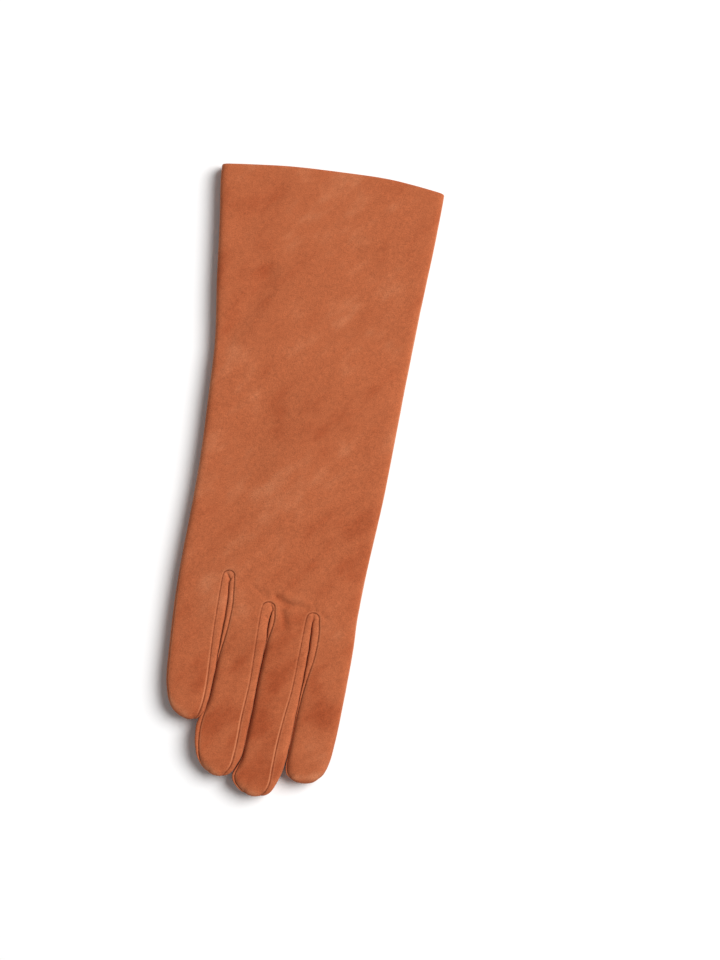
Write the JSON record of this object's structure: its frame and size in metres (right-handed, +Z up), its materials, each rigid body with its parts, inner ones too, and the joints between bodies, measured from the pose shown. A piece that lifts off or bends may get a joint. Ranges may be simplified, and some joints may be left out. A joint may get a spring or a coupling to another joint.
{
  "type": "long suede dress glove, right hand",
  "caption": "Long unlined suede dress glove for the right hand, lying back up with the thumb folded under the palm and the cuff open.",
  "frame": {"origin": "on the surface that the glove lies on, under the middle of its outline seen from above", "axes": "+Y from the finger tips to the cuff, +X to the index side, +Z up from the palm to the back of the hand"},
  "size_m": [0.1029, 0.29, 0.0128],
  "materials": {
    "suede": "brushed suede with a soft short nap, matt",
    "strip_suede": "brushed suede cut across the skin, a little brighter, matt",
    "thread": "fine matt sewing thread, a little darker than the suede"
  },
  "bodies": {
    "root": {"trank": "suede", "thumb": "suede", "fourchette_pinky_ring": "strip_suede", "fourchette_ring_middle": "strip_suede", "fourchette_middle_index": "strip_suede"}
  },
  "joints": []
}
